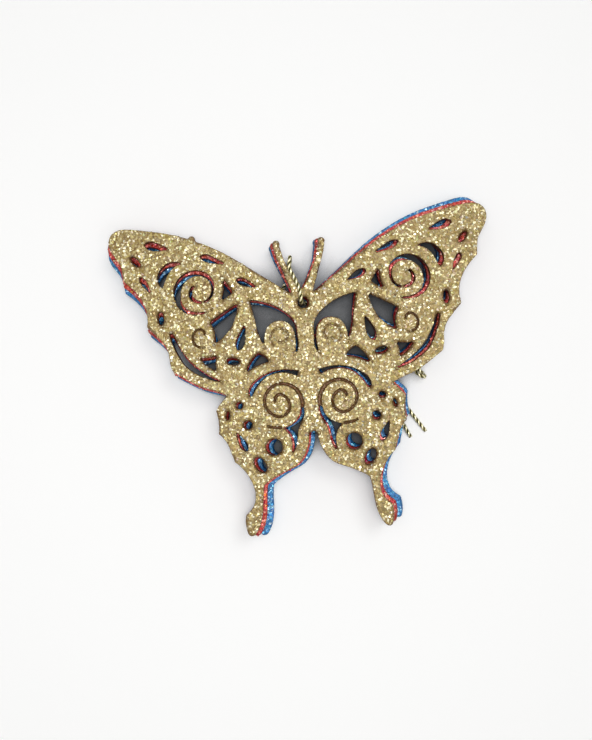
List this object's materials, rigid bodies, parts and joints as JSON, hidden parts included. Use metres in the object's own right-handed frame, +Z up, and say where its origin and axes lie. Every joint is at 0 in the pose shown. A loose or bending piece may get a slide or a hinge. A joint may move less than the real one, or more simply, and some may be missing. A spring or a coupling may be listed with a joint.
{
  "type": "butterfly hanging ornament",
  "caption": "Glitter-coated filigree butterfly plates in gold, red and blue, stacked and fanned on one twisted metallic hanging cord tied with a knot.",
  "frame": {"origin": "centre of the front plate's head hole, on the table that the ornament lies on", "axes": "+Z up out of the front face, +Y from the tails to the head, +X across the wings to the right as seen from the front"},
  "size_m": [0.1223, 0.105, 0.0142],
  "materials": {
    "gold_glitter": "moulded plastic under a coat of gold glitter flakes",
    "red_glitter": "moulded plastic under a coat of red glitter flakes",
    "blue_glitter": "moulded plastic under a coat of blue glitter flakes",
    "metallic_cord": "twisted gold metallic yarn"
  },
  "bodies": {
    "back_plate": {"blue_butterfly": "blue_glitter", "hanging_cord": "metallic_cord", "cord_knot": "metallic_cord"},
    "middle_plate": {"red_butterfly": "red_glitter"},
    "front_plate": {"gold_butterfly": "gold_glitter"}
  },
  "joints": [
    {"name": "middle_fan", "type": "hinge", "parent": "back_plate", "child": "middle_plate", "pos_m": [-0.00055, 0, 0.0078], "axis": [0, 0, 1], "range_deg": [-7, 24]},
    {"name": "front_fan", "type": "hinge", "parent": "back_plate", "child": "front_plate", "pos_m": [-0.00055, 0, 0.0111], "axis": [0, 0, 1], "range_deg": [-4, 28]}
  ]
}
